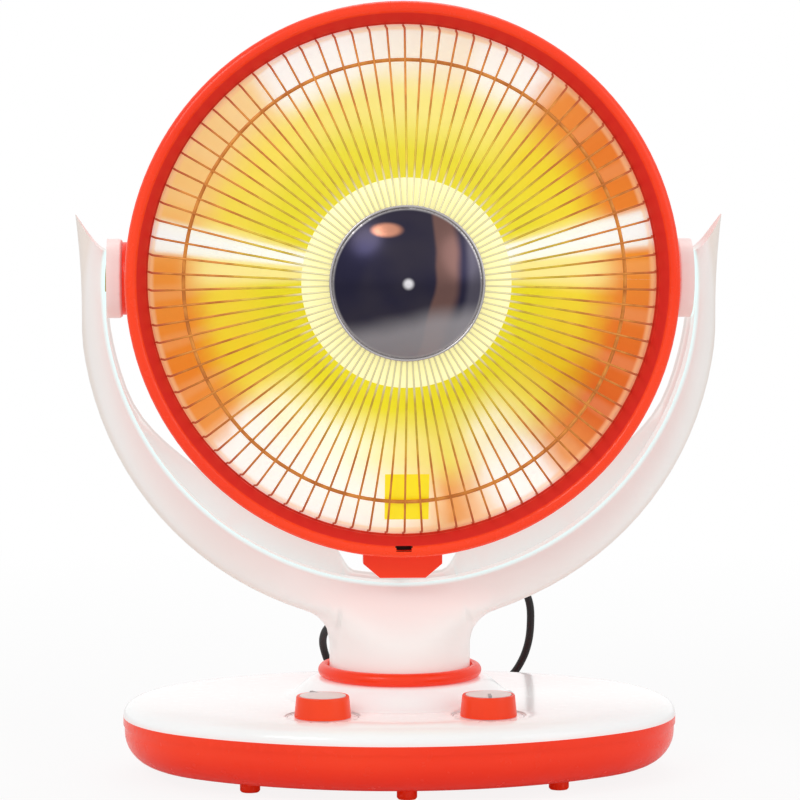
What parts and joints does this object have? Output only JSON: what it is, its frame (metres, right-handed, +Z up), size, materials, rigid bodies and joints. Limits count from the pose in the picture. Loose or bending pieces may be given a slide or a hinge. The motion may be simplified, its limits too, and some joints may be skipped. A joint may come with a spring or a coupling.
{
  "type": "parabolic heater",
  "caption": "Free-standing dish heater: round head with wire guard and golden reflector, tilting in a U-shaped fork that swivels on an oval base with two knobs.",
  "frame": {"origin": "on the floor under the upright axis that the fork turns about, at the middle of the base", "axes": "+Z up, the front of the heater towards -Y, the tilt axis along X"},
  "size_m": [0.3924, 0.2796, 0.4675],
  "materials": {
    "red_plastic": "glossy",
    "orange_plastic": "satin",
    "white_plastic": "glossy",
    "cap_plastic": "matte",
    "golden_sheet": "polished",
    "steel": "satin",
    "wire_plating": "polished",
    "cap_plating": "mirror",
    "cream_enamel": "satin",
    "ceramic": "matte",
    "bush_brass": "satin",
    "black_plastic": "matte",
    "lead_sheath": "matte",
    "hot_wire": "oxidised"
  },
  "bodies": {
    "base": {"base_pan": "red_plastic", "base_cover": "white_plastic", "feet": "red_plastic", "base_screws": "steel", "ballast_plates": "steel", "collar_ring": "red_plastic", "bearing_plate": "steel", "plate_screws": "steel", "glide_washer": "cap_plastic", "timer": "black_plastic", "heat_switch": "black_plastic", "terminal_block": "ceramic", "tipover_switch": "black_plastic", "mains_gland": "black_plastic"},
    "left_control": {"timer_shaft": "steel", "left_knob": "orange_plastic", "left_cap": "cap_plastic"},
    "right_control": {"switch_shaft": "steel", "right_knob": "orange_plastic", "right_cap": "cap_plastic"},
    "plunger": {"tipover_plunger": "cap_plastic"},
    "fork": {"fork_front": "white_plastic", "fork_back": "white_plastic", "fork_screws": "steel", "turntable": "steel", "turntable_screws": "steel", "swivel_nut": "steel", "trunnion_bushes": "bush_brass", "hub_discs": "white_plastic", "fork_gland": "black_plastic", "head_lead": "lead_sheath"},
    "head": {"front_ring": "red_plastic", "ring_latch": "red_plastic", "wire_guard": "wire_plating", "support_ring": "wire_plating", "guard_rim": "wire_plating", "guard_hub": "steel", "centre_cap": "cap_plating", "cap_screw": "steel", "bright_disc": "cream_enamel", "reflector": "golden_sheet", "rear_shell": "red_plastic", "latch_screw": "steel", "trunnion_bolts": "steel", "trunnion_nuts": "steel", "ceramic_former": "ceramic", "heating_coil": "hot_wire", "ceramic_base": "ceramic", "element_bracket": "steel", "bracket_screws": "steel", "thermal_cutout": "ceramic", "junction_cover": "red_plastic", "junction_screws": "steel", "lead_relief": "black_plastic"}
  },
  "joints": [
    {"name": "swivel", "type": "hinge", "parent": "base", "child": "fork", "pos_m": [0, 0, 0.06], "axis": [0, 0, 1], "range_deg": [-35, 35]},
    {"name": "tilt", "type": "hinge", "parent": "fork", "child": "head", "pos_m": [0, 0, 0.3025], "axis": [1, 0, 0], "range_deg": [-15, 20], "deforming": ["head_lead"]},
    {"name": "left_knob_turn", "type": "hinge", "parent": "base", "child": "left_control", "pos_m": [-0.049, -0.075, 0.05], "axis": [0, 0, 1], "range_deg": [-150, 120]},
    {"name": "right_knob_turn", "type": "hinge", "parent": "base", "child": "right_control", "pos_m": [0.049, -0.075, 0.05], "axis": [0, 0, 1], "range_deg": [-120, 0]},
    {"name": "plunger_slide", "type": "slide", "parent": "base", "child": "plunger", "axis": [0, 0, 1], "range_m": [-0.006, 0], "stiffness_N_per_m": 50, "springref_m": -0.006}
  ]
}
